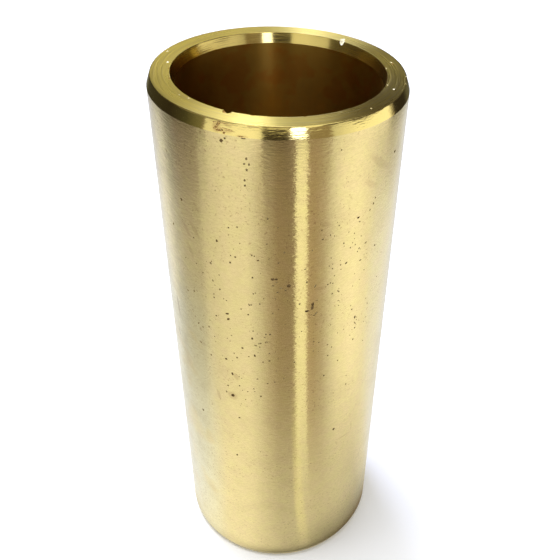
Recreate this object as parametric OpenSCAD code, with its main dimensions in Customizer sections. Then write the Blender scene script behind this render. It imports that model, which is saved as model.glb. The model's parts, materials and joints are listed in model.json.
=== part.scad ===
// Plain sleeve bushing: one straight tube, turned all over, with a lead-in
// chamfer outside and inside at each end. Millimetres, +Z along the bore.
// The origin is on the axis, in the plane of the lower end face.

/* [Bore and wall] */
// Diameter of the bore, which is the nominal size of its shaft
bore_d = 38.1; // [30:0.1:60]
// Thickness of the wall between the bore and the outside
wall_t = 4.7625; // [4:0.0125:8]

/* [Length] */
// Length between the two end faces
sleeve_l = 120.65; // [20:0.05:150]

/* [Outside chamfers] */
// Length of each outside chamfer, along the axis
outside_chamfer_l = 2; // [0.5:0.1:3]
// Angle of each outside chamfer from the axis, in degrees
outside_chamfer_a = 20; // [10:1:25]

/* [Bore chamfers] */
// Length of each bore chamfer, along the axis
bore_chamfer_l = 2; // [0.5:0.1:3]
// Angle of each bore chamfer from the axis, in degrees
bore_chamfer_a = 15; // [10:1:25]

/* [Hidden] */
$fn = 192;

bore_r = bore_d / 2;
outside_r = bore_r + wall_t;

// How far each chamfer runs across the end face
outside_chamfer_r = outside_chamfer_l * tan(outside_chamfer_a);
bore_chamfer_r = bore_chamfer_l * tan(bore_chamfer_a);

// Cross-section of the wall, from the lower bore chamfer round to the upper one
wall_section = [
    [bore_r + bore_chamfer_r, 0],
    [outside_r - outside_chamfer_r, 0],
    [outside_r, outside_chamfer_l],
    [outside_r, sleeve_l - outside_chamfer_l],
    [outside_r - outside_chamfer_r, sleeve_l],
    [bore_r + bore_chamfer_r, sleeve_l],
    [bore_r, sleeve_l - bore_chamfer_l],
    [bore_r, bore_chamfer_l],
];

// The whole bushing: the wall's section turned once round the axis
module sleeve() {
    color([0.80, 0.64, 0.36])
        rotate_extrude()
            polygon(wall_section);
}

sleeve();
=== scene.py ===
"""A plain bronze sleeve bushing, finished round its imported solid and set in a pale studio."""

import json
import math
import random

import bpy
from mathutils import Matrix, Vector


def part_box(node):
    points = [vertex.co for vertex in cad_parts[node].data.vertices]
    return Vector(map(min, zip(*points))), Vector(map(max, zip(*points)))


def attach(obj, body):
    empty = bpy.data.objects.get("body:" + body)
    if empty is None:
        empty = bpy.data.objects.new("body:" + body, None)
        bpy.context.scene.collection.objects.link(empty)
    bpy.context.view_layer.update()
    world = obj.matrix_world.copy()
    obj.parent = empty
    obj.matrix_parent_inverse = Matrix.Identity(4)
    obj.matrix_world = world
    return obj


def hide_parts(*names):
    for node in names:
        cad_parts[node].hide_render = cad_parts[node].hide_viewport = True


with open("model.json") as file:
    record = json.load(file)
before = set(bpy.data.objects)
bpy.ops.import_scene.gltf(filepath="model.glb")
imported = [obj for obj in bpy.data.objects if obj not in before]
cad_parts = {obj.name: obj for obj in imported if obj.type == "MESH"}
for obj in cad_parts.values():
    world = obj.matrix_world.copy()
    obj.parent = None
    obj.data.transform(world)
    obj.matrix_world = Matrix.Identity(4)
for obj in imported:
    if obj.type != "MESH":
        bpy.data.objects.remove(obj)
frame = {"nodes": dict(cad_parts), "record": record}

bl_info = {
    "name": "Bronze sleeve bushing",
    "version": (1, 0, 0),
    "blender": (4, 5, 0),
    "location": "3D View > Sidebar > Bushing",
    "description": "Turns, marks and finishes a plain bronze sleeve bushing and sets its studio",
    "category": "Object",
}

MM = 0.001
WHITE = (1.0, 1.0, 1.0, 1.0)
CAD_NODE = "sleeve"
CAD_BODY = "root"
PIECE = "turned_sleeve"
UP = Vector((0.0, 0.0, 1.0))

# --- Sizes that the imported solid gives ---

SAME_HEIGHT = 0.001 * MM

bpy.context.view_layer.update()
mounts = {mount["name"]: mount for mount in frame["record"]["mounts"]}


def mount_size(mount, key):
    """A mount's stated size, in metres."""
    return mounts[mount]["dims"][key] * MM


def end_ring(node, height):
    """Inner and outer radius of the flat end face at that height."""
    points = [vertex.co for vertex in frame["nodes"][node].data.vertices]
    radii = [math.hypot(p.x, p.y) for p in points if abs(p.z - height) < SAME_HEIGHT]
    return min(radii), max(radii)


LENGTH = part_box(CAD_NODE)[1].z
OUTSIDE_R = mount_size("outside", "r_mm")
BORE_R = mount_size("bore", "r_mm")
OUTSIDE_CHAMFER = (LENGTH - mount_size("outside", "length_mm")) / 2
BORE_CHAMFER = (LENGTH - mount_size("bore", "length_mm")) / 2
FACE_INNER_R, FACE_OUTER_R = end_ring(CAD_NODE, LENGTH)


# --- Settings ---


def length_setting(name, description, default):
    """A length, in metres."""
    return bpy.props.FloatProperty(
        name=name, description=description, default=default, unit="LENGTH", precision=5
    )


def colour_setting(name, description, default):
    """A colour, as red, green and blue from 0 to 1."""
    return bpy.props.FloatVectorProperty(
        name=name, description=description, default=default, size=3, subtype="COLOR",
        min=0.0, max=1.0,
    )


def plain_setting(name, description, default):
    """A number without a unit."""
    return bpy.props.FloatProperty(name=name, description=description, default=default)


class BushingToolMarks(bpy.types.PropertyGroup):
    """How the lathe tool left the metal."""

    segments: bpy.props.IntProperty(
        name="Segments", description="Flats round the turned sleeve", default=320
    )
    edge_break: length_setting(
        "Edge break", "Radius that each sharp corner is broken to", 0.24 * MM
    )
    face_pitch: length_setting(
        "Face pitch", "Distance between the tool lines on an end face", 0.44 * MM
    )
    face_depth: length_setting(
        "Face depth", "Depth between the tool lines on an end face", 0.006 * MM
    )
    chamfer_pitch: length_setting(
        "Chamfer pitch", "Distance between the tool lines on a chamfer", 0.36 * MM
    )
    chamfer_depth: length_setting(
        "Chamfer depth", "Depth between the tool lines on a chamfer", 0.006 * MM
    )
    wall_step: length_setting(
        "Wall step", "Height of each ring of faces on the plain walls", 3.0 * MM
    )


class BushingPores(bpy.types.PropertyGroup):
    """Casting pores that the tool opened, and knocks from handling."""

    pore_depth: plain_setting("Pore depth", "Depth of a pore as a part of its width", 0.45)
    fine_pores: bpy.props.IntProperty(
        name="Fine pores", description="Number of fine pores in each porous patch", default=16
    )
    fine_size: length_setting("Fine pore size", "Width of a fine pore", 0.26 * MM)
    roughness: plain_setting("Pore roughness", "How uneven the wall of a pore is", 0.3)


class BushingColours(bpy.types.PropertyGroup):
    """Colours of the bronze and of what has settled on it."""

    rosy: colour_setting("Rosy bronze", "Bronze where more copper shows", (0.89, 0.71, 0.34))
    olive: colour_setting("Olive bronze", "Bronze where less copper shows", (0.88, 0.74, 0.315))
    # Paler, greyer colour that the outside wall takes at a fixed place low on its left side
    pale_low_left: colour_setting("Greyed bronze", "Paler metal low on the left", (0.90, 0.80, 0.43))
    dull: colour_setting("Dull bronze", "Bronze that has dulled in handling", (0.62, 0.49, 0.22))
    tarnish: colour_setting("Tarnish", "Grey brown where the wall was held", (0.50, 0.41, 0.24))
    stain: colour_setting("Stain", "Brown smears and rubbed marks", (0.42, 0.27, 0.12))
    fresh: colour_setting("Fresh bronze", "Outside chamfers", (0.88, 0.71, 0.24))
    faced: colour_setting("Faced bronze", "End faces between the tool lines", (0.88, 0.72, 0.19))
    # Darker than the outside bronze: painted shade at the mouth of the bore
    lead_in: colour_setting("Lead-in bronze", "Chamfers of the bore", (0.68, 0.53, 0.16))
    # The bore's colours are darker than the outside bronze: painted shade inside the bore
    shaded_bore: colour_setting("Bored bronze", "Bronze in the bore", (0.50, 0.30, 0.05))
    shaded_bore_red: colour_setting("Red in the bore", "Redder patches in the bore", (0.50, 0.24, 0.035))
    pore: colour_setting("Open pore", "Dark skin inside a wide pore", (0.26, 0.17, 0.065))
    fine_pore: colour_setting("Fine pore", "Brown skin inside a fine pore", (0.40, 0.30, 0.13))
    crumbled: colour_setting("Crumbled metal", "Brown of a crumbled edge", (0.55, 0.37, 0.13))
    # Near-white burr colour: raised metal from a knock, with a painted highlight in its pale
    # colour
    torn_glint_and_dark_side: colour_setting("Torn metal", "Bright metal torn up by a knock", (0.86, 0.82, 0.66))
    scuffed: colour_setting("Scuffed metal", "Paler metal in a light knock", (0.62, 0.54, 0.30))


class BushingStudio(bpy.types.PropertyGroup):
    """Camera and floor."""

    camera_place: bpy.props.FloatVectorProperty(
        name="Camera place", description="Where the lens stands", size=3, unit="LENGTH",
        default=(0.0, -0.12834, 0.17148),
    )
    camera_turn: bpy.props.FloatVectorProperty(
        name="Camera turn", description="How the camera is turned, as XYZ angles", size=3,
        subtype="EULER", default=tuple(math.radians(a) for a in (50.877, -2.792, -3.445)),
    )
    focal_length: plain_setting("Focal length", "Lens length in mm on a 36 mm sensor", 46.56)
    shift_x: plain_setting("Shift across", "Sideways shift of the picture", -0.1)
    shift_y: plain_setting("Shift up", "Upward shift of the picture", 0.0357)
    floor: colour_setting("Floor", "Colour of the studio floor", (0.78, 0.79, 0.81))


# --- Casting pores and knocks ---
# Degrees from the front, positive to the right, then mm: height, across, tall, and a turn.

PORES = (
    # The open ones, in the middle of the front
    (-3, 91, 0.8, 0.55, -10), (-1.5, 91, 0.6, 0.5, -20), (-1.5, 90.3, 0.3, 0.4, 0),
    (4, 89.5, 0.8, 0.8, 20), (2.5, 88.5, 0.4, 0.5, 0), (15, 84.5, 0.6, 1.0, 5),
    (15, 83.7, 0.6, 1.0, -5), (12.5, 83, 1.0, 0.5, 5), (16, 81.7, 0.6, 0.35, 40),
    (17, 82.2, 0.7, 0.3, 40), (-13, 76, 0.5, 0.6, 0), (-24.5, 58.5, 0.9, 0.9, 30),
    # Under the top chamfer
    (-23, 117.5, 0.7, 0.6, 20), (-21.5, 118, 0.4, 0.4, 0), (-14, 118.5, 0.8, 0.3, 0),
    (-13, 115, 0.4, 0.5, 0), (-12, 114, 0.4, 0.5, 0), (-14, 114, 0.4, 0.4, 0),
    (-13, 113, 0.4, 0.5, 30), (-14, 111, 0.4, 0.5, 0), (-14, 110, 0.4, 0.5, 0),
    (59.5, 111, 0.7, 0.5, 0), (25, 116, 0.3, 0.3, 0),
    # High on the left
    (-47, 103, 0.5, 0.8, 30), (-56, 96, 0.5, 0.5, 0), (-28, 97.5, 0.5, 0.6, 0),
    (-22, 101, 0.35, 0.4, 0), (-18, 101.5, 0.3, 0.35, 0), (-22, 93.5, 0.45, 0.5, 0),
    (-19.5, 95, 0.4, 0.45, 0), (-32, 92, 0.45, 0.5, 30), (-12, 91, 0.4, 0.45, 0),
    (-9.5, 95, 0.45, 0.45, 0), (-12, 96, 0.35, 0.4, 0), (-5, 104, 0.35, 0.5, 0),
    (-31.5, 88, 0.3, 0.6, 30), (-28, 86.5, 0.4, 0.4, 0), (-44, 83, 0.5, 0.5, 0),
    (-49, 82, 0.5, 0.4, 0), (-31.5, 84, 0.35, 0.45, 0), (-31.5, 84.8, 0.3, 0.35, 0),
    (-25, 81, 0.8, 0.5, 10), (-24.5, 79.7, 0.5, 0.7, -30), (-31, 79.5, 0.45, 0.4, 0),
    (-13, 84.5, 0.35, 0.4, 0), (-14.5, 82, 0.4, 0.4, 0), (-9, 85, 0.3, 0.5, 0),
    # Mid left
    (-36, 75.7, 0.4, 0.6, 0), (-40, 74.7, 0.4, 0.4, 0), (-43, 75, 0.5, 0.5, 0),
    (-42.5, 70, 0.45, 0.4, 0), (-36, 68, 0.4, 0.4, 0), (-12.5, 78, 0.3, 0.4, 0),
    (-11.5, 74.3, 0.7, 0.35, -25), (-27, 68.7, 0.6, 0.5, 0), (-21, 70, 0.45, 0.45, 0),
    (-22.5, 71, 0.3, 0.4, 0), (-18, 73, 0.5, 0.5, 0), (-12, 71.5, 0.45, 0.7, 15),
    (-15, 71, 0.3, 0.4, 0), (-24, 65, 0.5, 0.8, 15), (-20.5, 62, 0.4, 0.4, 0),
    (-27, 61, 0.45, 0.5, 0), (-28, 59, 0.35, 0.6, 0), (-9.5, 60, 0.5, 0.5, 0),
    (-21.5, 52, 0.5, 0.5, 0), (-46, 48.5, 0.6, 0.6, 0), (-24, 39, 0.5, 0.6, 0),
    # Mid front
    (-3, 89.5, 0.5, 0.35, 0), (0.5, 89, 0.6, 0.3, 0), (-1, 88, 0.5, 0.35, 0),
    (-0.5, 94.7, 0.45, 0.35, 0), (2, 97, 0.3, 0.45, 0), (-4.5, 77.5, 0.45, 0.5, 0),
    (-6.5, 77.5, 0.35, 0.4, 0), (-7, 76.7, 0.3, 0.4, 0), (-9, 75, 0.4, 0.4, 0),
    (-6, 75.5, 0.35, 0.35, 0), (-9.5, 74, 0.3, 0.35, 0), (-5, 70.5, 0.5, 0.5, 0),
    (-5, 72.5, 0.4, 0.3, 0), (-8, 70, 0.35, 0.4, 0), (-2.5, 64.5, 0.4, 0.4, 0),
    (-6, 64, 0.35, 0.4, 0), (-11, 65, 0.35, 0.4, 0), (7, 70, 0.45, 0.4, 20),
    (11, 93, 0.3, 0.35, 0), (9, 85, 0.4, 0.4, 0), (12, 90, 0.4, 0.4, 0),
    (17, 85.3, 0.5, 0.25, 0), (16, 88.8, 0.35, 0.7, -20), (18, 101, 0.35, 0.4, 0),
    (18.5, 99, 0.45, 0.35, 0), (14, 97, 0.3, 0.35, 0),
    # Right
    (29, 97, 0.35, 0.4, 0), (36, 101.5, 0.6, 0.5, 0), (37, 100.5, 0.4, 0.3, -30),
    (45, 103, 0.45, 0.5, 0), (46, 104, 0.35, 0.4, 0), (43, 102, 0.3, 0.5, 0),
    (31, 92.3, 0.7, 0.4, 30), (28, 92.3, 0.35, 0.35, 0), (39.5, 91.5, 0.6, 0.3, 0),
    (49, 93, 0.4, 0.4, 0), (42, 95, 0.6, 0.35, 15), (38, 94.5, 0.35, 0.4, 0),
    (22, 88.5, 0.35, 0.35, 0), (24.5, 88.5, 0.3, 0.3, 0), (28, 86, 0.3, 0.35, 0),
    (24.5, 86, 0.35, 0.4, 0), (36.5, 80, 0.4, 0.4, 0), (39, 77.5, 0.45, 0.7, 0),
    (39, 76, 0.3, 0.5, 0), (39.5, 74.5, 0.35, 0.5, 0), (39, 71.5, 0.35, 0.5, 0),
    (23.5, 73, 0.4, 0.3, 0), (24, 70, 0.35, 0.4, 0), (22.5, 64.5, 0.4, 0.5, 0),
    (30, 67.5, 0.35, 0.35, 0), (36.5, 59, 0.35, 0.5, 0), (30.5, 46, 0.6, 0.7, 0),
)
# Porous patches: degrees, height, then how wide in degrees and how tall in mm
POROUS_PATCHES = (
    (-8, 70, 14, 16), (-22, 66, 14, 22), (-30, 80, 14, 22), (2, 86, 16, 14), (34, 98, 16, 14),
    (30, 90, 14, 10), (18, 72, 14, 20), (-12, 100, 20, 20), (-45, 95, 16, 24), (40, 74, 10, 14),
    (100, 80, 60, 50), (180, 70, 60, 60), (-110, 60, 50, 60), (140, 60, 40, 60),
)
# Crumbled metal on the top chamfer: degrees, mm below the top, across, tall, deep and a turn
CRUMBS = (
    (-24.3, 0.45, 0.55, 0.75, 0.22, -25), (-24.9, 0.8, 0.5, 0.5, 0.18, -40),
    (-25.5, 1.15, 0.6, 0.5, 0.22, 10), (-26.1, 1.35, 0.4, 0.3, 0.15, 0),
    (-24.9, 1.5, 0.6, 0.3, 0.15, 30), (-23.7, 1.5, 0.8, 0.4, 0.24, 20),
    (-22.8, 1.45, 0.55, 0.3, 0.18, -10), (-21.8, 1.75, 0.55, 0.4, 0.2, 0),
    (-26.7, 0.5, 0.4, 0.2, 0.1, 0), (-22.0, 0.35, 3.0, 0.13, 0.06, 3),
    (-20.6, 0.6, 1.6, 0.1, 0.05, 0), (-21.2, 1.1, 2.4, 0.15, 0.06, -6),
    (-19.4, 1.35, 2.2, 0.12, 0.05, 0), (-15, 1.9, 1.2, 0.22, 0.12, 0),
    (-10.5, 0.3, 2.2, 0.14, 0.08, 0),
)
# Brown metal about the crumbs: degrees, mm below the top, across, tall, strength
CRUMB_STAINS = (
    (-25.3, 1.0, 1.5, 1.8, 0.6), (-22.4, 1.4, 3.4, 0.7, 0.5), (-21.0, 0.4, 3.2, 0.3, 0.4),
    (-14.5, 1.9, 2.0, 0.5, 0.5),
)
# Knocks in the top face and its rims: degrees, radius, then mm across, radial length, depth
CHIPS = (
    (-25.2, 19.75, 1.6, 1.9, 0.8), (-75, 19.75, 0.5, 0.45, 0.35),
    (-88, 19.75, 0.35, 0.35, 0.25), (-118, 19.8, 0.5, 0.3, 0.2), (-148, 22.7, 0.5, 0.4, 0.3),
    (-137.5, 22.7, 0.4, 0.3, 0.3), (101, 21.5, 0.45, 0.35, 0.25), (-110, 22.95, 0.6, 0.4, 0.3),
    (-13, 19.7, 0.8, 0.3, 0.25), (12, 19.65, 0.6, 0.25, 0.2),
)
BURRS = (
    (141, 19.7, 1.1, 1.2, 0.8), (142.5, 20.5, 0.8, 1.3, 0.3), (69, 21.3, 0.5, 0.4, 0.12),
    (-96.5, 20.4, 0.6, 0.35, 0.12),
)
SCUFFS = (
    (44, 21.8, 0.4, 0.35, 0.12), (103, 21.5, 0.6, 0.4, 0.12), (95.5, 19.75, 0.5, 0.3, 0.15),
    (73, 19.85, 0.5, 0.3, 0.15), (85.5, 22.9, 0.5, 0.35, 0.2), (77, 22.95, 0.4, 0.3, 0.2),
    (-110, 22.3, 0.9, 0.3, 0.1), (-49, 20.0, 0.5, 0.35, 0.15), (-54.5, 20.5, 0.3, 0.3, 0.1),
    (30, 20.0, 0.35, 0.2, 0.1), (90, 22.9, 0.3, 0.25, 0.15), (125, 19.9, 0.4, 0.2, 0.12),
)
# Smears and rubbed marks on the wall: degrees, height, then mm across and tall, lean, strength
STAINS = (
    (-40, 98, 1.2, 3.2, 35, 0.28), (-45, 97, 1.1, 2.6, 40, 0.22), (-44, 93, 1.1, 2.8, 30, 0.2),
    (-38, 103, 0.8, 2.0, 35, 0.2), (-61, 75, 0.9, 5.0, 8, 0.5), (-64, 67, 0.8, 2.4, 5, 0.35),
    (-22, 64.5, 1.2, 2.0, 25, 0.35), (-24.5, 58.5, 2.2, 2.4, 0, 0.35),
    (-33, 57, 0.7, 3.0, 15, 0.3), (-41, 70, 2.4, 1.0, 0, 0.25), (38, 41.5, 4.2, 0.45, -4, 0.25),
    (43.5, 43.5, 0.5, 3.0, 0, 0.2), (33, 40.5, 0.5, 1.6, 30, 0.2),
    (47, 111, 1.6, 7.0, 50, 0.22), (42, 107.5, 1.2, 5.0, 55, 0.18),
    (20, 102, 2.6, 0.9, -20, 0.2), (18, 88, 2.4, 0.8, 0, 0.2),
)

# --- Studio cloth ---
# Angle from the front, positive to the right, how bright the cloth is there, and its tint
# unless it is plain. The rings lie one after the other: out over the floor from the sleeve's
# foot, then up the wall.

PLAIN = Vector((1.0, 1.0, 1.0))
WARM = Vector((1.0, 0.82, 0.66))
HALF_WARM = Vector((1.0, 0.91, 0.83))
ROSE = Vector((1.0, 0.88, 0.92))
COOL = Vector((0.97, 1.02, 1.18))
STRAW = Vector((1.0, 0.95, 0.62))
GOLD = Vector((1.0, 1.01, 0.88))

TENT_R = 170 * MM
TENT_HEIGHT = 450 * MM
TENT_SWAY = 3 * MM
TENT_HOLE_R = 23.4 * MM
TENT_KNEE_R = 60 * MM
TENT_LIFT = 0.3 * MM
TENT_SEGMENTS = 96
CLOTH_GLOW = 2.0
TENT_BASE = (
    (-180, 1.0), (-110, 1.1, COOL), (-50, 1.15), (-28, 1.06), (-20, 0.93), (-12, 0.8),
    (-4, 0.66), (4, 0.6), (12, 0.6), (17, 0.44), (28, 0.33), (60, 0.32), (100, 0.6), (150, 1.0),
)
TENT_RIM = (
    (-180, 0.9), (-60, 0.95), (-36, 0.85), (-22, 0.5), (-10, 0.24), (10, 0.18),
    (45, 0.12, WARM), (75, 0.25, WARM), (110, 0.9),
)
TENT_FOOT = (
    (-180, 1.0), (-110, 1.1, COOL), (-80, 1.05, COOL), (-50, 1.12), (-28, 1.02), (-20, 0.88),
    (-12, 0.76), (-4, 0.66), (8, 0.64), (9.8, 0.86, GOLD), (15, 0.86, GOLD), (18, 0.74),
    (32, 0.7), (50, 0.7), (75, 0.66), (95, 0.9), (110, 1.0, COOL), (150, 1.0),
)
TENT_FLOOR = (
    (-180, 0.9), (-150, 1.05, COOL), (-122, 1.05, COOL), (-108, 0.68, COOL), (-95, 0.58),
    (-82, 0.58), (-73, 0.62), (-72, 0.76), (-62, 0.8), (-46, 0.92), (-30, 0.92), (-22, 0.75),
    (-12, 0.54, HALF_WARM), (-3, 0.37, WARM), (8, 0.34, WARM), (12.3, 0.36, WARM),
    (13, 1.08, GOLD), (22.8, 1.08, GOLD), (23.6, 0.52, WARM), (30, 0.46, WARM),
    (38, 0.54, HALF_WARM), (46, 0.78), (55, 1.05), (72, 1.2), (88, 1.05), (98, 1.02, COOL),
    (115, 1.05, COOL), (140, 1.0, COOL), (170, 0.8),
)
TENT_SKIRT = (
    (-180, 0.9), (-150, 0.92, COOL), (-120, 0.86, COOL), (-108, 0.38, COOL), (-95, 0.28, ROSE),
    (-82, 0.3, ROSE), (-72, 0.36, ROSE), (-71, 0.58), (-60, 0.66), (-46, 0.84), (-30, 0.83),
    (-24, 0.66), (-18, 0.5, HALF_WARM), (-11, 0.44, HALF_WARM), (-3, 0.32, WARM),
    (8, 0.27, WARM), (11.6, 0.3, WARM), (12.3, 1.25, GOLD), (21.2, 1.25, GOLD),
    (22, 0.44, WARM), (30, 0.44, WARM), (38, 0.58, HALF_WARM), (46, 0.88), (55, 1.08),
    (72, 1.12), (84, 0.88), (98, 0.62), (115, 0.66), (140, 0.9, COOL), (170, 0.8),
)
TENT_WALL = (
    (-180, 0.38), (-176.5, 0.42, STRAW), (-173, 0.56, STRAW), (-160, 0.26, STRAW),
    (-151, 0.18, STRAW), (-145, 0.12, STRAW), (-136, 0.05, STRAW), (-95, 0.03, WARM),
    (-78, 0.06, STRAW), (-63, 0.18, STRAW), (-60.5, 0.2, WARM), (-59.5, 0.88), (-32, 1.12),
    (-22, 1.15), (-15.5, 1.05), (-13.5, 0.05, WARM), (4, 0.05, WARM), (8, 0.2, WARM),
    (15, 0.29, WARM), (38, 0.3, WARM), (41, 0.72), (64, 1.2), (97.5, 1.25),
    (102.5, 0.4, HALF_WARM), (106, 0.03, WARM), (126, 0.03, WARM), (138, 0.12, STRAW),
    (163, 0.06, STRAW), (174.8, 0.08, WARM), (175.8, 1.3), (178.4, 1.3), (179.4, 0.55),
)
TENT_UPPER = (
    (-180, 0.6), (-177, 0.9, STRAW), (-175, 1.3, STRAW), (-170, 1.35, STRAW),
    (-167, 1.25, STRAW), (-163.5, 0.85, STRAW), (-158, 0.32, STRAW), (-150, 0.12, STRAW),
    (-64, 0.16, HALF_WARM), (-48, 0.25), (-38, 0.6), (-28, 1.25), (-20, 1.15),
    (-13, 0.08, WARM), (15, 0.1, WARM), (97, 0.1, WARM), (110, 0.12, HALF_WARM),
    (150, 0.12, HALF_WARM), (163, 0.06, WARM), (171, 0.1, WARM), (174, 0.38, WARM), (178, 0.7),
)

# Where each ring gives way to the next, in mm: out from the axis, then up from the floor
RIM_ENDS = (24.6, 26.6)
BASE_ENDS = (25, 35)
FOOT_ENDS = (34, 100)
FLOOR_ENDS = (2, 25)
SKIRT_ENDS = (42, 72)
WALL_ENDS = (182, 196)
# Cloths hung over the front half, in mm: X to the right, Y back and Z up, and their tints
FRONT_HALF = (60, 0)
ROOF_FROM, ROOF_TINT = (240, 249), (0.06, 0.05, 0.04)
ROOF_STEPS = (((98, 110), 80), ((130, 158), 20))
DUSK_FROM, DUSK_TO, DUSK_TINT = (171, 177), (200, 192), (0.14, 0.13, 0.11)
DUSK_SIDE, DUSK_DROP = (52, 60), ((98, 110), 8)
PANE_LEFT, PANE_RIGHT = (52, 58), (104, 96)
PANE_FROM, PANE_TINT = (171, 177), (0.55, 0.54, 0.50)
STRIP_SIDES, STRIP_TINT = (62, 50), (0.42, 0.40, 0.33)
STRIP_FROM, STRIP_TO = (165, 171), (192, 184)
LID_FROM, LID_TINT = (230, 255), (0.47, 0.47, 0.47)

# --- Modelling helpers ---

SMOOTH_BELOW = math.radians(14)
MERGE_WITHIN = 0.0005 * MM
CORNER_STEPS = 3
CRISP_PART = 0.45  # of the edge break, where a face meets a chamfer of the bore
LINE_STEPS = 4
LINE_CUTS = (0.35, 1.0)  # how deep a tool line is cut, as a part of the full depth
LINE_SEED = 11
PORE_SEED = 5
PORE_SHAPES = (1, 2, 3)
KNOCK_SHAPES = (4, 5)
BALL_DETAIL = 2
WIDE_PORE = 0.28  # mm across times mm tall, past which a pore is dark inside
FINE_WIDTHS = (0.6, 1.2)
FINE_HEIGHTS = (0.8, 1.4)


def deselect_all():
    bpy.ops.object.select_all(action="DESELECT")


def make_active(piece):
    deselect_all()
    piece.select_set(True)
    bpy.context.view_layer.objects.active = piece


def inward(run):
    """Unit normal into the metal beside a run of the wall's section."""
    return Vector((-run.y, run.x)).normalized()


def scalloped(start, end, pitch, depth, steps, dice):
    """Section points from start up to end, with a shallow hollow between each two tool lines."""
    run = end - start
    cells = max(1, round(run.length / pitch))
    points = []
    for cell in range(cells):
        cut = depth * dice.uniform(*LINE_CUTS)
        for step in range(steps):
            part = step / steps
            hollow = cut * 4.0 * part * (1.0 - part)
            points.append(start + run * ((cell + part) / cells) + inward(run) * hollow)
    return points


def broken_corner(before, corner, after, radius, steps):
    """Arc that rounds a corner of the section off: its first and last point touch the sides."""
    back = (before - corner).normalized()
    ahead = (after - corner).normalized()
    half = back.angle(ahead) / 2.0
    centre = corner + (back + ahead).normalized() * (radius / math.sin(half))
    first = corner + back * (radius / math.tan(half))
    last = corner + ahead * (radius / math.tan(half))
    arc = []
    for step in range(steps + 1):
        point = first.lerp(last, step / steps)
        arc.append(centre + (point - centre).normalized() * radius)
    return arc


def wall_section(marks):
    """Closed outline of the wall as (radius, height) points, with the metal on its left."""
    corners = [
        Vector((FACE_INNER_R, 0.0)),
        Vector((FACE_OUTER_R, 0.0)),
        Vector((OUTSIDE_R, OUTSIDE_CHAMFER)),
        Vector((OUTSIDE_R, LENGTH - OUTSIDE_CHAMFER)),
        Vector((FACE_OUTER_R, LENGTH)),
        Vector((FACE_INNER_R, LENGTH)),
        Vector((BORE_R, LENGTH - BORE_CHAMFER)),
        Vector((BORE_R, BORE_CHAMFER)),
    ]
    face = (marks.face_pitch, marks.face_depth, LINE_STEPS)
    chamfer = (marks.chamfer_pitch, marks.chamfer_depth, LINE_STEPS)
    wall = (marks.wall_step, 0.0, 1)
    cuts = [face, chamfer, wall, chamfer, face, chamfer, wall, chamfer]
    soft = marks.edge_break
    crisp = soft * CRISP_PART
    breaks = (crisp, soft, soft, soft, soft, crisp, soft, soft)
    count = len(corners)
    arcs = []
    for i, corner in enumerate(corners):
        after = corners[(i + 1) % count]
        arcs.append(broken_corner(corners[i - 1], corner, after, breaks[i], CORNER_STEPS))
    dice = random.Random(LINE_SEED)
    outline = []
    for i, (pitch, depth, steps) in enumerate(cuts):
        outline += arcs[i][:-1]
        outline += scalloped(arcs[i][-1], arcs[(i + 1) % count][0], pitch, depth, steps, dice)
    return outline + outline[:1]


def lathe(name, outline, segments):
    """Draws the outline by extruding a point along it, then spins it once round +Z."""
    deselect_all()
    first = Vector((outline[0].x, 0.0, outline[0].y))
    bpy.ops.mesh.primitive_plane_add(size=MM, location=first)
    piece = bpy.context.object
    piece.name = piece.data.name = name
    bpy.ops.object.transform_apply(location=True, rotation=True, scale=True)
    bpy.ops.object.mode_set(mode="EDIT")
    bpy.ops.mesh.select_all(action="SELECT")
    bpy.ops.mesh.merge(type="CENTER")
    for here, there in zip(outline, outline[1:]):
        step = (there.x - here.x, 0.0, there.y - here.y)
        bpy.ops.mesh.extrude_vertices_move(TRANSFORM_OT_translate={"value": step})
    bpy.ops.mesh.select_all(action="SELECT")
    bpy.ops.mesh.spin(steps=segments, angle=math.tau, center=(0.0, 0.0, 0.0), axis=UP)
    bpy.ops.mesh.select_all(action="SELECT")
    bpy.ops.mesh.remove_doubles(threshold=MERGE_WITHIN)
    bpy.ops.mesh.normals_make_consistent(inside=False)
    bpy.ops.object.mode_set(mode="OBJECT")
    return piece


def rough_ball(name, seed, unevenness):
    """An uneven ball of radius 1, to cut a hollow with."""
    deselect_all()
    bpy.ops.mesh.primitive_ico_sphere_add(subdivisions=BALL_DETAIL, radius=1.0)
    ball = bpy.context.object
    ball.name = ball.data.name = name
    bpy.ops.object.mode_set(mode="EDIT")
    bpy.ops.mesh.select_all(action="SELECT")
    bpy.ops.transform.vertex_random(offset=unevenness, uniform=0.0, normal=1.0, seed=seed)
    bpy.ops.object.mode_set(mode="OBJECT")
    return ball


def place_on(angle, radius, height, lying=False):
    """Matrix at a place on the metal: Z points out of the wall or, lying, up from the face."""
    turn = math.radians(angle)
    across = Vector((math.cos(turn), math.sin(turn), 0.0))
    out = Vector((math.sin(turn), -math.cos(turn), 0.0))
    axes = (across, -out, UP) if lying else (across, UP, out)
    return Matrix.Translation(out * radius + UP * height) @ Matrix(axes).transposed().to_4x4()


def set_copy(shape, skin, place, turn, half):
    """A copy of the cutter at that place, with its half sizes, and its own mesh and skin."""
    copy = shape.copy()
    copy.data = shape.data.copy()
    copy.data.materials.append(skin)
    bpy.context.scene.collection.objects.link(copy)
    turned = place @ Matrix.Rotation(math.radians(turn), 4, "Z")
    copy.matrix_world = turned @ Matrix.Diagonal((*half, 1.0))
    return copy


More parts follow.
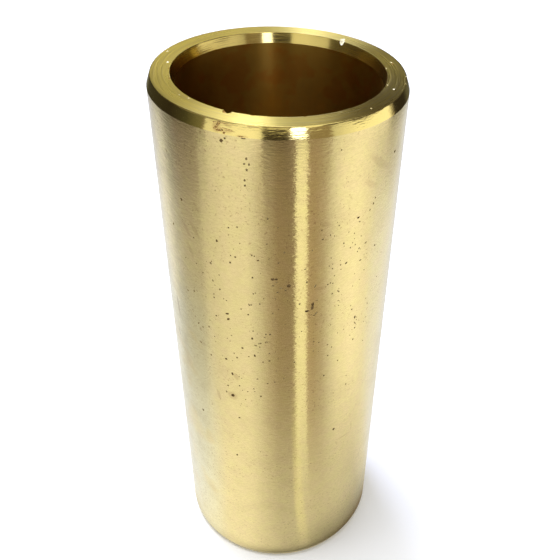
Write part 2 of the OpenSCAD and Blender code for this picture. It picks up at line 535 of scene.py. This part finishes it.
def cut_away(piece, cutters, patterns):
    """Joins the cutters and cuts them out of the piece, and their skins line the cuts."""
    deselect_all()
    for cutter in cutters:
        cutter.select_set(True)
    bpy.context.view_layer.objects.active = cutters[0]
    bpy.ops.object.transform_apply(location=True, rotation=True, scale=True)
    bpy.ops.object.join()
    cutter = bpy.context.object
    faces_before = len(piece.data.polygons)
    make_active(piece)
    cut = piece.modifiers.new("cut", "BOOLEAN")
    cut.operation = "DIFFERENCE"
    cut.solver = "MANIFOLD"
    cut.material_mode = "TRANSFER"
    cut.object = cutter
    bpy.ops.object.modifier_apply(modifier="cut")
    if len(piece.data.polygons) <= faces_before:
        raise RuntimeError("the cutters left no hollow")
    deselect_all()
    for item in (cutter, *patterns):
        item.select_set(True)
    bpy.ops.object.delete()
    make_active(piece)
    bpy.ops.object.shade_smooth_by_angle(angle=SMOOTH_BELOW)


# --- Shader helpers ---

# Sockets of a Mix node that mixes colours
MIX_FACTOR, MIX_FIRST, MIX_SECOND, MIX_RESULT = 0, 6, 7, 2
NOISE_FALLOFF = 0.6
SMEAR_SLANT = 0.4
MARK_EDGE = (1.6, 0.2)
FRONT_WALL = (-0.1, -0.3)
QUARTER_TURN = 0.25


class Wire:
    """One value in a shader. Arithmetic on it adds the Math nodes."""

    def __init__(self, recipe, socket):
        self.recipe = recipe
        self.socket = socket

    def math(self, operation, *values):
        return self.recipe.node(
            "ShaderNodeMath", {"operation": operation}, dict(enumerate(values))
        )

    def __add__(self, other):
        return self.math("ADD", self, other)

    def __radd__(self, other):
        return self.math("ADD", other, self)

    def __sub__(self, other):
        return self.math("SUBTRACT", self, other)

    def __rsub__(self, other):
        return self.math("SUBTRACT", other, self)

    def __mul__(self, other):
        return self.math("MULTIPLY", self, other)

    def __rmul__(self, other):
        return self.math("MULTIPLY", other, self)

    def __truediv__(self, other):
        return self.math("DIVIDE", self, other)


class Recipe:
    """A node tree, and the one method that adds any node to it."""

    def __init__(self, owner):
        owner.use_nodes = True
        self.tree = owner.node_tree
        self.tree.nodes.clear()

    def node(self, kind, settings=None, inputs=None, output=0):
        made = self.tree.nodes.new(kind)
        for key, value in (settings or {}).items():
            if key == "stops":
                self.set_stops(made.color_ramp, value)
            else:
                setattr(made, key, value)
        for key, value in (inputs or {}).items():
            if isinstance(value, Wire):
                self.tree.links.new(value.socket, made.inputs[key])
            else:
                made.inputs[key].default_value = value
        return Wire(self, made.outputs[output]) if made.outputs else None

    @staticmethod
    def set_stops(ramp, stops):
        while len(ramp.elements) < len(stops):
            ramp.elements.new(0.5)
        for element, (place, colour) in zip(ramp.elements, stops):
            element.position = place
            element.color = (*colour, 1.0)

    def blend(self, factor, first, second):
        """A colour that goes from first to second as factor goes from 0 to 1."""
        inputs = {MIX_FACTOR: factor, MIX_FIRST: first, MIX_SECOND: second}
        return self.node("ShaderNodeMix", {"data_type": "RGBA"}, inputs, output=MIX_RESULT)

    def ramp(self, value, low, high):
        """0 below low, 1 above high, smooth between."""
        settings = {"interpolation_type": "SMOOTHSTEP"}
        inputs = {"Value": value, "From Min": low, "From Max": high}
        return self.node("ShaderNodeMapRange", settings, inputs)

    def reach(self, value, ends):
        """0 at the first of the two ends and 1 at the second, which are in mm."""
        return self.ramp(value, ends[0] * MM, ends[1] * MM)

    def object_place(self):
        """The place on the object, as one vector and as its X, Y and Z."""
        place = self.node("ShaderNodeTexCoord", output="Object")
        parts = self.node("ShaderNodeSeparateXYZ", inputs={0: place}).socket.node
        return place, *(Wire(self, socket) for socket in parts.outputs)


def rgba(colour):
    """The colour with an alpha of 1."""
    return (*colour, 1.0)


class TurnedMetal(Recipe):
    """Bronze whose pattern follows the lathe: fine lines run round the axis."""

    def __init__(self, name):
        self.material = bpy.data.materials.new(name)
        super().__init__(self.material)
        self.place, x, y, z = self.object_place()
        self.height = z
        self.radius = x.math("SQRT", x * x + y * y)
        self.across = x / self.radius
        self.along = y / self.radius

    def lines(self, spacing, length, detail=2.0):
        """Noise drawn out round the axis: spacing apart, and length long, in metres."""
        around = OUTSIDE_R / length
        over = (self.height + self.radius) / spacing
        inputs = {"X": self.across * around, "Y": self.along * around, "Z": over}
        vector = self.node("ShaderNodeCombineXYZ", inputs=inputs)
        inputs = {"Vector": vector, "Scale": 1.0, "Detail": detail, "Roughness": NOISE_FALLOFF}
        return self.node("ShaderNodeTexNoise", inputs=inputs)

    def patches(self, size, detail=3.0):
        """Even noise with patches about that size, in metres."""
        inputs = {"Vector": self.place, "Scale": 1.0 / size, "Detail": detail}
        return self.node("ShaderNodeTexNoise", inputs=inputs)

    def smears(self, spacing, length, detail=3.0):
        """Noise drawn out on a slant round the axis."""
        around = OUTSIDE_R / length
        over = (self.height + self.across * (OUTSIDE_R * SMEAR_SLANT)) / spacing
        inputs = {"X": self.across * around, "Y": self.along * around, "Z": over}
        vector = self.node("ShaderNodeCombineXYZ", inputs=inputs)
        inputs = {"Vector": vector, "Scale": 1.0, "Detail": detail}
        return self.node("ShaderNodeTexNoise", inputs=inputs)

    def wobble(self, size):
        """Noise about 0, which makes the edge of a mark uneven."""
        return self.patches(size) * 1.4 - 0.7

    def mark(self, angle, height, across, tall, lean, wobble):
        """1 in the middle of a leaning oval mark on the front wall, 0 outside it."""
        turn = math.radians(lean)
        aside = (self.across - math.sin(math.radians(angle))) * OUTSIDE_R
        aside = aside / (math.cos(math.radians(angle)) * MM)
        over = (self.height - height * MM) / MM
        wide = (aside * math.cos(turn) + over * math.sin(turn)) / (across / 2)
        high = (over * math.cos(turn) - aside * math.sin(turn)) / (tall / 2)
        near = self.ramp(wide * wide + high * high + wobble, *MARK_EDGE)
        return near * self.ramp(self.along, *FRONT_WALL)

    def finish(self, colour, roughness, height, relief, anisotropy):
        """The finished metal. The relief is how high, in metres, a height of 1 stands."""
        bump = {"Strength": 1.0, "Distance": relief, "Height": height}
        surface = {
            "Base Color": colour,
            "Metallic": 1.0,
            "Roughness": roughness,
            "Anisotropic": anisotropy,
            "Anisotropic Rotation": QUARTER_TURN,
            "Normal": self.node("ShaderNodeBump", inputs=bump),
        }
        shader = self.node("ShaderNodeBsdfPrincipled", inputs=surface)
        self.node("ShaderNodeOutputMaterial", inputs={"Surface": shader})
        return self.material


# Places on the part that a finish is bound to: sideways as a part of the radius, positive to the
# right, and heights in mm
# Where the wall turns paler and greyer, low on the left
PALE_LOW_SIDE, PALE_LOW_HEIGHTS = (-0.5, -0.7), (92, 74)
HELD_SIDE, HELD_HEIGHTS = (-0.6, -0.8), (50, 80)
# Part of the radius over which a bore chamfer turns darker and rougher, down its right side
DARK_SIDE_SPAN = (0.45, 0.62)
# Shares of a tint that each pattern lays on the metal
PALE_LOW_SHARE = 0.9
CLOUD_SHARE = 0.12
BROAD_SHARE = 0.05
GRAIN_SHARE = 0.26
HELD_SHARE = 0.16
SPECK_SHARE = 0.5
CUT_SHARE = 0.1
DARK_SIDE_SHARE = 0.4
RING_SHARE = 0.35
RED_SHARE = 0.8
CHAMFER_CROWN = 0.8


def outside_bronze(colours):
    """The turned outside: satin, drawn out up and down by its fine lines, and a little dull."""
    metal = TurnedMetal("bronze_outside")
    fine = metal.lines(spacing=0.42 * MM, length=1.4 * MM)
    grain = metal.lines(spacing=0.32 * MM, length=0.8 * MM, detail=1.0)
    broad = metal.lines(spacing=1.2 * MM, length=6 * MM)
    mottle = metal.patches(2.6 * MM)
    colour = metal.blend(metal.ramp(mottle, 0.2, 0.8), rgba(colours.olive), rgba(colours.rosy))
    # Paler, greyer colour laid at a fixed place low on the left side of the wall
    pale_low_left = metal.ramp(metal.across, *PALE_LOW_SIDE) * metal.reach(metal.height, PALE_LOW_HEIGHTS)
    pale_low_left = pale_low_left * metal.ramp(metal.patches(9 * MM), 0.3, 0.5)
    colour = metal.blend(pale_low_left * PALE_LOW_SHARE, colour, rgba(colours.pale_low_left))
    dulling = metal.ramp(metal.patches(6 * MM), 0.45, 0.75)
    worn = dulling * CLOUD_SHARE + metal.ramp(broad, 0.4, 0.7) * BROAD_SHARE
    worn = worn + metal.ramp(grain, 0.3, 0.7) * GRAIN_SHARE
    colour = metal.blend(worn, colour, rgba(colours.dull))
    smeared = metal.smears(spacing=1.3 * MM, length=2.6 * MM)
    held = metal.ramp(metal.across, *HELD_SIDE) * metal.reach(metal.height, HELD_HEIGHTS)
    held = held * metal.ramp(smeared, 0.35, 0.7) * HELD_SHARE
    colour = metal.blend(held, colour, rgba(colours.tarnish))
    specks = metal.ramp(metal.patches(0.45 * MM, detail=1.0), 0.62, 0.72)
    specks = specks * metal.ramp(metal.patches(9 * MM), 0.42, 0.6) * SPECK_SHARE
    colour = metal.blend(specks, colour, rgba(colours.stain))
    wobble = metal.wobble(0.9 * MM)
    for *place, strength in STAINS:
        marked = metal.mark(*place, wobble) * strength
        colour = metal.blend(marked, colour, rgba(colours.stain))
    roughness = 0.15 + dulling * 0.03 + mottle * 0.03 + held * 0.06
    return metal.finish(colour, roughness, fine + broad * 0.2, relief=0.03 * MM, anisotropy=1.0)


def chamfer_bronze(colours):
    """An outside chamfer: a bright crowned cut, with ragged tool lines, brown by the crumbs."""
    metal = TurnedMetal("bronze_chamfer")
    fine = metal.lines(spacing=0.10 * MM, length=10 * MM)
    ragged = metal.lines(spacing=0.3 * MM, length=2.5 * MM)
    from_end = metal.height.math("MINIMUM", metal.height, LENGTH - metal.height)
    aside = from_end / (OUTSIDE_CHAMFER / 2) - 1.0
    crown = aside * aside * -CHAMFER_CROWN
    colour = metal.blend(fine * CUT_SHARE, rgba(colours.fresh), rgba(colours.dull))
    wobble = metal.wobble(0.5 * MM)
    for angle, below, across, tall, strength in CRUMB_STAINS:
        near = metal.mark(angle, LENGTH / MM - below, across, tall, 0, wobble)
        colour = metal.blend(near * strength, colour, rgba(colours.crumbled))
    height = fine * 0.06 + ragged + crown
    return metal.finish(colour, 0.11 + fine * 0.04, height, relief=0.035 * MM, anisotropy=0.7)


def lead_in_bronze(colours):
    """A chamfer of the bore: a smooth cut whose colour carries painted shade, darker still and
    rougher down its right side.
    """
    metal = TurnedMetal("bronze_lead_in")
    fine = metal.lines(spacing=0.10 * MM, length=10 * MM)
    broad = metal.lines(spacing=0.8 * MM, length=8 * MM)
    # Darker, rougher right side of the chamfer, laid by position: the pore colour is mixed in
    torn_glint_and_dark_side = metal.ramp(metal.across, *DARK_SIDE_SPAN)
    colour = metal.blend(fine * CUT_SHARE, rgba(colours.lead_in), rgba(colours.dull))
    colour = metal.blend(torn_glint_and_dark_side * DARK_SIDE_SHARE, colour, rgba(colours.pore))
    roughness = 0.12 + fine * 0.04 + torn_glint_and_dark_side * 0.1
    return metal.finish(colour, roughness, fine * 0.05 + broad, relief=0.02 * MM, anisotropy=0.6)


def face_bronze(colours):
    """A faced end: rings of tool lines about the bore."""
    metal = TurnedMetal("bronze_face")
    fine = metal.lines(spacing=0.10 * MM, length=14 * MM)
    broad = metal.lines(spacing=0.4 * MM, length=12 * MM)
    rings = metal.ramp(broad, 0.4, 0.65) * RING_SHARE
    colour = metal.blend(rings, rgba(colours.faced), rgba(colours.dull))
    roughness = 0.22 + fine * 0.04 + broad * 0.1
    return metal.finish(colour, roughness, fine * 0.1 + broad, relief=0.08 * MM, anisotropy=0.95)


def bore_bronze(colours):
    """The bore: smooth, and darker and browner by painted shade in its colours."""
    metal = TurnedMetal("bronze_bore")
    fine = metal.lines(spacing=0.25 * MM, length=20 * MM)
    broad = metal.lines(spacing=2.5 * MM, length=12 * MM)
    reddened = metal.ramp(metal.patches(5 * MM), 0.45, 0.6) * RED_SHARE
    colour = metal.blend(reddened, rgba(colours.shaded_bore), rgba(colours.shaded_bore_red))
    roughness = 0.30 + fine * 0.04
    return metal.finish(colour, roughness, fine * 0.2 + broad, relief=0.02 * MM, anisotropy=0.9)


def pore_skin(name, colour):
    """The rough inside of a pore or a knock."""
    material = bpy.data.materials.new(name)
    recipe = Recipe(material)
    surface = {"Base Color": rgba(colour), "Roughness": 0.9, "Specular IOR Level": 0.1}
    shader = recipe.node("ShaderNodeBsdfPrincipled", inputs=surface)
    recipe.node("ShaderNodeOutputMaterial", inputs={"Surface": shader})
    return material


# --- Operators ---

# Material slots of the sleeve, in the order in which its metals are added
OUTSIDE, CHAMFER, FACE, BORE, LEAD_IN = range(5)
FACING_END = 0.9


class BUSHING_OT_turn_sleeve(bpy.types.Operator):
    """Turn the sleeve, with its chamfers and tool lines"""

    bl_idname = "bushing.turn_sleeve"
    bl_label = "Turn sleeve"

    def execute(self, context):
        marks = context.scene.bushing_marks
        sleeve = lathe(PIECE, wall_section(marks), marks.segments)
        if not sleeve.data.polygons:
            raise RuntimeError("the sleeve has no faces")
        make_active(sleeve)
        bpy.ops.object.shade_smooth_by_angle(angle=SMOOTH_BELOW)
        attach(sleeve, CAD_BODY)
        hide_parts(CAD_NODE)
        return {"FINISHED"}


class BUSHING_OT_finish_bronze(bpy.types.Operator):
    """Give the outside, chamfers, end faces and bore their own finish"""

    bl_idname = "bushing.finish_bronze"
    bl_label = "Finish bronze"

    def execute(self, context):
        colours = context.scene.bushing_colours
        sleeve = bpy.data.objects[PIECE]
        for metal in (outside_bronze, chamfer_bronze, face_bronze, bore_bronze, lead_in_bronze):
            sleeve.data.materials.append(metal(colours))
        for polygon in sleeve.data.polygons:
            height = min(polygon.center.z, LENGTH - polygon.center.z)
            in_bore = polygon.center.xy.length < (BORE_R + OUTSIDE_R) / 2
            if abs(polygon.normal.z) > FACING_END:
                polygon.material_index = FACE
            elif in_bore:
                polygon.material_index = LEAD_IN if height < BORE_CHAMFER else BORE
            else:
                polygon.material_index = CHAMFER if height < OUTSIDE_CHAMFER else OUTSIDE
        return {"FINISHED"}


class BUSHING_OT_open_pores(bpy.types.Operator):
    """Open the casting pores in the outside and crumble the chamfer over them"""

    bl_idname = "bushing.open_pores"
    bl_label = "Open pores"

    def execute(self, context):
        pores = context.scene.bushing_pores
        colours = context.scene.bushing_colours
        balls = [rough_ball("pore_pattern", seed, pores.roughness) for seed in PORE_SHAPES]
        wide_skin = pore_skin("wide_pore", colours.pore)
        fine_skin = pore_skin("fine_pore", colours.fine_pore)
        cutters = []
        for number, (angle, height, across, tall, turn) in enumerate(PORES):
            skin = wide_skin if across * tall > WIDE_PORE else fine_skin
            place = place_on(angle, OUTSIDE_R, height * MM)
            half = Vector((across, tall, min(across, tall) * 2 * pores.pore_depth)) * (MM / 2)
            cutters.append(set_copy(balls[number % len(balls)], skin, place, turn, half))
        crumbled_skin = pore_skin("crumbled_edge", colours.crumbled)
        for number, (angle, down, across, tall, deep, turn) in enumerate(CRUMBS):
            lean = (OUTSIDE_R - FACE_OUTER_R) * max(0.0, 1.0 - down * MM / OUTSIDE_CHAMFER)
            place = place_on(angle, OUTSIDE_R - lean, LENGTH - down * MM)
            half = Vector((across / 2, tall / 2, deep)) * MM
            cutters.append(set_copy(balls[number % len(balls)], crumbled_skin, place, turn, half))
        dice = random.Random(PORE_SEED)
        for angle, height, wide, tall in POROUS_PATCHES:
            for _ in range(pores.fine_pores):
                place = place_on(
                    dice.gauss(angle, wide / 2), OUTSIDE_R, dice.gauss(height, tall / 2) * MM
                )
                width = pores.fine_size / 2 * dice.uniform(*FINE_WIDTHS)
                half = (width, width * dice.uniform(*FINE_HEIGHTS), width)
                ball = balls[dice.randrange(len(balls))]
                cutters.append(set_copy(ball, fine_skin, place, 0.0, half))
        cut_away(bpy.data.objects[PIECE], cutters, balls)
        return {"FINISHED"}


class BUSHING_OT_knock_edges(bpy.types.Operator):
    """Knock chips, burrs and scuffs into the top face and its rims"""

    bl_idname = "bushing.knock_edges"
    bl_label = "Knock edges"

    def execute(self, context):
        pores = context.scene.bushing_pores
        balls = [rough_ball("knock_pattern", seed, pores.roughness / 2) for seed in KNOCK_SHAPES]
        colours = context.scene.bushing_colours
        # The burrs' near-white skin is partly painted highlight on the raised metal
        torn_glint_and_dark_side = pore_skin("torn_metal", colours.torn_glint_and_dark_side)
        scuffed = pore_skin("scuffed_metal", colours.scuffed)
        chipped = bpy.data.materials["crumbled_edge"]
        cutters = []
        for knocks, skin in ((CHIPS, chipped), (BURRS, torn_glint_and_dark_side), (SCUFFS, scuffed)):
            for number, (angle, radius, across, long, deep) in enumerate(knocks):
                place = place_on(angle, radius * MM, LENGTH, lying=True)
                half = Vector((across / 2, long / 2, deep)) * MM
                cutters.append(set_copy(balls[number % len(balls)], skin, place, 0.0, half))
        cut_away(bpy.data.objects[PIECE], cutters, balls)
        return {"FINISHED"}


class BUSHING_OT_set_studio(bpy.types.Operator):
    """Set the floor, the cloth round the sleeve, the lamps, the world and the camera"""

    bl_idname = "bushing.set_studio"
    bl_label = "Set studio"

    def execute(self, context):
        studio = context.scene.bushing_studio
        set_floor(studio)
        set_tent()
        set_lamps()
        set_world(context.scene)
        set_camera(context.scene, studio)
        context.scene.view_settings.view_transform = "Standard"
        return {"FINISHED"}


# --- Studio ---

FLOOR_SIZE = 6.0
FLOOR_FADE = (0.35, 0.9)
NEAR_GLOW = 0.15
SKY = 0.5
SENSOR_WIDTH = 36.0
NEAREST_SEEN = 0.01


def mirror_sees(recipe):
    """1 for a ray from the camera or from a shiny or clear surface, 0 for any other."""
    path = recipe.node("ShaderNodeLightPath").socket.node
    rays = ("Is Camera Ray", "Is Glossy Ray", "Is Transmission Ray")
    camera, glossy, clear = (Wire(recipe, path.outputs[ray]) for ray in rays)
    return camera.math("MAXIMUM", camera, glossy.math("MAXIMUM", glossy, clear))


def set_floor(studio):
    """A matt floor that goes white away from the sleeve, for the camera and in mirrors."""
    deselect_all()
    bpy.ops.mesh.primitive_plane_add(size=FLOOR_SIZE, location=(0.0, 0.0, 0.0))
    floor = bpy.context.object
    floor.name = "studio_floor"
    material = bpy.data.materials.new("pale_floor")
    recipe = Recipe(material)
    matt = recipe.node("ShaderNodeBsdfDiffuse", inputs={"Color": rgba(studio.floor)})
    place = recipe.node("ShaderNodeTexCoord", output="Object")
    away = recipe.node("ShaderNodeVectorMath", {"operation": "LENGTH"}, {0: place}, output="Value")
    far = recipe.ramp(away, *FLOOR_FADE)
    strength = mirror_sees(recipe) * (far * (1.0 - NEAR_GLOW) + NEAR_GLOW)
    glow = recipe.node("ShaderNodeEmission", inputs={"Color": WHITE, "Strength": strength})
    both = recipe.node("ShaderNodeAddShader", inputs={0: matt, 1: glow})
    recipe.node("ShaderNodeOutputMaterial", inputs={"Surface": both})
    floor.data.materials.append(material)


def only_in_reflections(item):
    """Hides the item from all but shiny surfaces."""
    item.visible_camera = False
    item.visible_diffuse = False
    item.visible_shadow = False
    item.visible_transmission = False
    item.visible_volume_scatter = False


def cloth(recipe, turn, panels):
    """A ring of cloth panels with soft edges. A ramp stops at 1, so its glow makes up the rest."""
    stops = []
    for angle, bright, *tint in panels:
        colour = (tint[0] if tint else PLAIN) * (bright / CLOTH_GLOW)
        stops.append(((angle + 180.0) / 360.0, tuple(colour)))
    return recipe.node("ShaderNodeValToRGB", {"stops": stops}, {0: turn})


def hang(recipe, colour, tint, *masks):
    """Hangs a cloth of that tint over the colour, where all the masks meet."""
    cover = masks[0]
    for mask in masks[1:]:
        cover = cover * mask
    return recipe.blend(cover, colour, rgba(tint))


def ring_cloths(recipe, turn, radius, z):
    """The rings of cloth, from the sleeve's foot out over the floor and up the wall."""
    colour = cloth(recipe, turn, TENT_RIM)
    for value, ends, panels in (
        (radius, RIM_ENDS, TENT_BASE),
        (radius, BASE_ENDS, TENT_FOOT),
        (radius, FOOT_ENDS, TENT_FLOOR),
        (z, FLOOR_ENDS, TENT_SKIRT),
    ):
        colour = recipe.blend(recipe.reach(value, ends), colour, cloth(recipe, turn, panels))
    wall = cloth(recipe, turn, TENT_WALL)
    upper = cloth(recipe, turn, TENT_UPPER)
    high = recipe.blend(recipe.reach(z, WALL_ENDS), wall, upper)
    return recipe.blend(recipe.reach(z, SKIRT_ENDS), colour, high)


def front_cloths(recipe, colour, x, y, z):
    """The roof and the cloths that hang from it, in front of the sleeve."""
    reach = recipe.reach
    ahead = reach(y, FRONT_HALF)
    left = 0.0 - x
    (near_step, near_drop), (far_step, far_drop) = ROOF_STEPS
    drop = reach(x, near_step) * (near_drop * MM) + reach(x, far_step) * (far_drop * MM)
    colour = hang(recipe, colour, ROOF_TINT, reach(z + ahead * drop, ROOF_FROM))
    low = z + reach(left, DUSK_DROP[0]) * (DUSK_DROP[1] * MM)
    dusk = (reach(low, DUSK_FROM), ahead, reach(left, DUSK_SIDE), reach(z, DUSK_TO))
    colour = hang(recipe, colour, DUSK_TINT, *dusk)
    pane = (reach(x, PANE_LEFT), reach(x, PANE_RIGHT), ahead, reach(z, PANE_FROM))
    colour = hang(recipe, colour, PANE_TINT, *pane)
    aside = x.math("ABSOLUTE", x)
    strip = (reach(aside, STRIP_SIDES), reach(z, STRIP_FROM), ahead, reach(z, STRIP_TO))
    colour = hang(recipe, colour, STRIP_TINT, *strip)
    return hang(recipe, colour, LID_TINT, ahead, reach(z, LID_FROM))


def set_tent():
    """A bowl of cloth round the sleeve, seen only in reflections."""
    outline = [Vector((radius, TENT_LIFT)) for radius in (TENT_HOLE_R, TENT_KNEE_R, TENT_R)]
    outline.append(Vector((TENT_R, TENT_HEIGHT)))
    tent = lathe("studio_tent", outline, TENT_SEGMENTS)
    material = bpy.data.materials.new("tent_cloth")
    recipe = Recipe(material)
    _, x, y, z = recipe.object_place()
    turn = x.math("ARCTAN2", x - TENT_SWAY, 0.0 - y) / math.tau + 0.5
    radius = x.math("SQRT", x * x + y * y)
    colour = ring_cloths(recipe, turn, radius, z)
    colour = front_cloths(recipe, colour, x, y, z)
    glow = recipe.node("ShaderNodeEmission", inputs={"Color": colour, "Strength": CLOTH_GLOW})
    recipe.node("ShaderNodeOutputMaterial", inputs={"Surface": glow})
    tent.data.materials.append(material)
    only_in_reflections(tent)


def aim(item, place, target):
    """Puts the item there and points its -Z at the target."""
    item.location = place
    item.rotation_euler = (Vector(target) - Vector(place)).to_track_quat("-Z", "Y").to_euler()


def add_lamp(name, place, target, width, height, power, colour=(1.0, 1.0, 1.0)):
    """An oblong soft lamp: sizes in metres, power in watts."""
    lamp = bpy.data.lights.new(name, "AREA")
    lamp.shape = "RECTANGLE"
    lamp.size = width
    lamp.size_y = height
    lamp.energy = power
    lamp.color = colour
    item = bpy.data.objects.new(name, lamp)
    bpy.context.scene.collection.objects.link(item)
    aim(item, place, target)
    return item


def around(angle, distance, height):
    """A place at that angle from the front, positive to the right."""
    turn = math.radians(angle)
    return (distance * math.sin(turn), -distance * math.cos(turn), height)


def set_lamps():
    """A large lamp overhead, one high behind on the left, and a small one close in front."""
    middle = (0.0, 0.0, LENGTH / 2)
    key = add_lamp(
        "key_softbox", around(angle=-105, distance=0.16, height=0.9), target=middle,
        width=0.45, height=0.45, power=8.0,
    )
    key.visible_glossy = False
    add_lamp(
        "back_softbox", around(angle=-152, distance=0.3, height=0.72), target=middle,
        width=0.17, height=0.34, power=2.4, colour=(0.93, 1.0, 1.4),
    )
    add_lamp(
        "small_lamp", around(angle=14.5, distance=0.165, height=0.157), target=(0.0, 0.0, 0.12),
        width=0.032, height=0.03, power=0.0125, colour=(0.92, 1.0, 1.5),
    )


def set_world(scene):
    """Light from all round, which the camera and mirrors see as white."""
    world = bpy.data.worlds.new("pale_studio")
    scene.world = world
    recipe = Recipe(world)
    strength = SKY + mirror_sees(recipe) * (1.0 - SKY)
    glow = recipe.node("ShaderNodeBackground", inputs={"Color": WHITE, "Strength": strength})
    recipe.node("ShaderNodeOutputWorld", inputs={"Surface": glow})


def set_camera(scene, studio):
    camera = bpy.data.cameras.new("studio_camera")
    camera.sensor_width = SENSOR_WIDTH
    camera.lens = studio.focal_length
    camera.shift_x = studio.shift_x
    camera.shift_y = studio.shift_y
    camera.clip_start = NEAREST_SEEN
    item = bpy.data.objects.new("studio_camera", camera)
    item.location = studio.camera_place
    item.rotation_euler = studio.camera_turn
    scene.collection.objects.link(item)
    scene.camera = item


class BUSHING_PT_panel(bpy.types.Panel):
    """Lists the steps in order"""

    bl_idname = "BUSHING_PT_panel"
    bl_label = "Sleeve bushing"
    bl_space_type = "VIEW_3D"
    bl_region_type = "UI"
    bl_category = "Bushing"

    def draw(self, context):
        for step in STEPS:
            self.layout.operator(step.bl_idname)
        for holder in GROUPS:
            group = getattr(context.scene, holder)
            for name in group.__annotations__:
                self.layout.prop(group, name)


GROUPS = {
    "bushing_marks": BushingToolMarks,
    "bushing_pores": BushingPores,
    "bushing_colours": BushingColours,
    "bushing_studio": BushingStudio,
}
STEPS = (
    BUSHING_OT_turn_sleeve,
    BUSHING_OT_finish_bronze,
    BUSHING_OT_open_pores,
    BUSHING_OT_knock_edges,
    BUSHING_OT_set_studio,
)


def register():
    for made in (*GROUPS.values(), *STEPS, BUSHING_PT_panel):
        bpy.utils.register_class(made)
    for name, group in GROUPS.items():
        setattr(bpy.types.Scene, name, bpy.props.PointerProperty(type=group))


def unregister():
    for name in GROUPS:
        delattr(bpy.types.Scene, name)
    for made in reversed((*GROUPS.values(), *STEPS, BUSHING_PT_panel)):
        bpy.utils.unregister_class(made)


def main():
    register()
    bpy.ops.bushing.turn_sleeve()
    bpy.ops.bushing.finish_bronze()
    bpy.ops.bushing.open_pores()
    bpy.ops.bushing.knock_edges()
    bpy.ops.bushing.set_studio()


if __name__ == "__main__":
    main()
